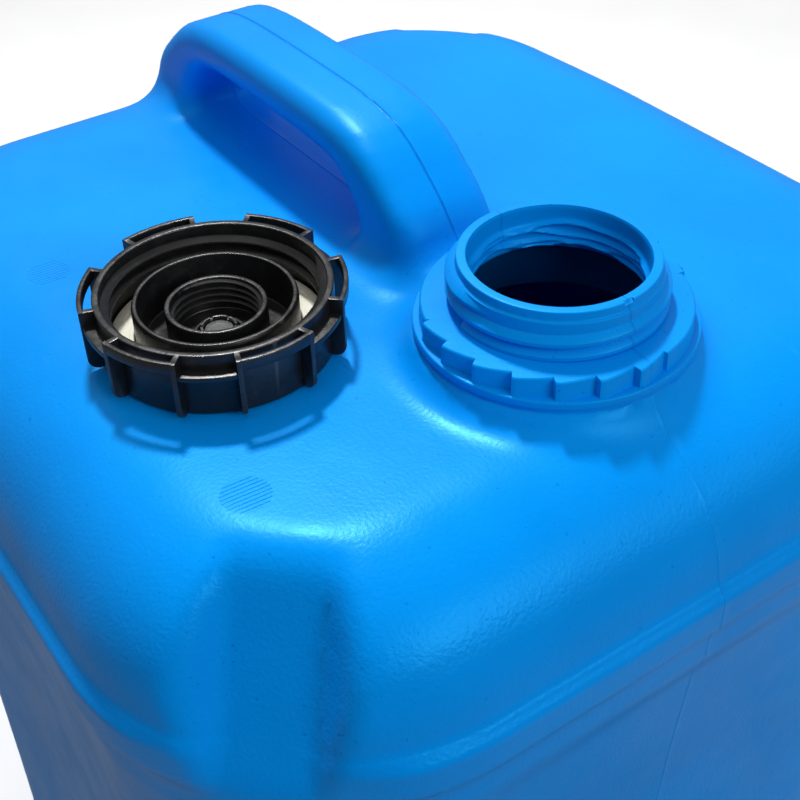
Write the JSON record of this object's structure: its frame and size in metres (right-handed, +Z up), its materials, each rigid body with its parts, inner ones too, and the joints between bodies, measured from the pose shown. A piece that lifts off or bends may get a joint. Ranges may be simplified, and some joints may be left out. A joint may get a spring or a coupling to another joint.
{
  "type": "jerry can",
  "caption": "Blow-moulded stackable jerry can with arched handle, threaded neck and a loose ribbed screw cap with foam seal and vent.",
  "frame": {"origin": "centre of the can's footprint, on the plane that its base rests on", "axes": "+Z up; +X runs along the handle from its middle towards the neck; +Y completes the right-handed frame, and y = 0 is the mould's parting plane"},
  "size_m": [0.318, 0.304, 0.399],
  "materials": {
    "blue_polyethylene": "satin, fine orange-peel grain",
    "black_polyethylene": "semi-gloss",
    "white_foam": "matte closed-cell foam",
    "dark_polymer": "satin",
    "membrane_film": "matte"
  },
  "bodies": {
    "can": {"can_body": "blue_polyethylene"},
    "seal": {"cap_seal": "white_foam"},
    "cap": {"screw_cap": "black_polyethylene", "vent_insert": "dark_polymer", "vent_membrane": "membrane_film"}
  },
  "joints": [
    {"name": "cap_swing", "type": "hinge", "parent": "can", "child": "seal", "pos_m": [0.05835, -0.03775, 0.38515], "axis": [-0.8067, 0.5909, 0], "range_deg": [0, 180]},
    {"name": "cap_turn", "type": "hinge", "parent": "seal", "child": "cap", "pos_m": [0.0307, -0.0755, 0.37005], "axis": [0, 0, 1], "continuous": true}
  ]
}
